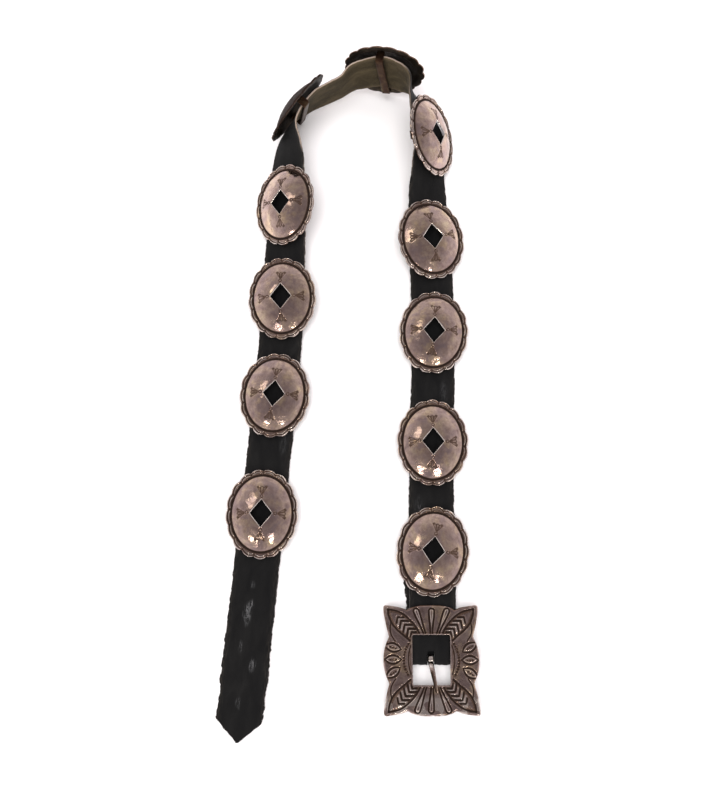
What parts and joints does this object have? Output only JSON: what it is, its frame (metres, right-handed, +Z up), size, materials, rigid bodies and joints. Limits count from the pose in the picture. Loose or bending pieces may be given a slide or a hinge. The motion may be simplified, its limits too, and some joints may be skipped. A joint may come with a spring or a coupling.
{
  "type": "concho belt",
  "caption": "Black leather belt laid open in a long U, threaded with oval scalloped domed silver conchos and ending in a rectangular stamped buckle with a hinged prong.",
  "frame": {"origin": "middle of the belt's box, on the surface that the belt lies on", "axes": "+Z up from the surface, +Y along the two legs of the U towards the standing bend, +X from the tip leg towards the buckle leg"},
  "size_m": [0.1782, 0.5008, 0.0532],
  "materials": {
    "leather": "matte black grain side with scuffs, brown flesh side",
    "silver_concho": "worn polished silver, darkened in the stamping and round the foot of the dome",
    "silver_buckle": "darkened silver with deep stamping"
  },
  "bodies": {
    "belt": {"strap": "leather", "concho_01": "silver_concho", "concho_02": "silver_concho", "concho_03": "silver_concho", "concho_04": "silver_concho", "concho_05": "silver_concho", "concho_06": "silver_concho", "concho_07": "silver_concho", "concho_08": "silver_concho", "concho_09": "silver_concho", "concho_10": "silver_concho", "concho_11": "silver_concho", "buckle": "silver_buckle"},
    "prong": {"prong": "silver_buckle"}
  },
  "joints": [
    {"name": "prong_hinge", "type": "hinge", "parent": "belt", "child": "prong", "pos_m": [0.05677, -0.19631, 0.00406], "axis": [-1, 0, 0], "range_deg": [0, 100]}
  ]
}
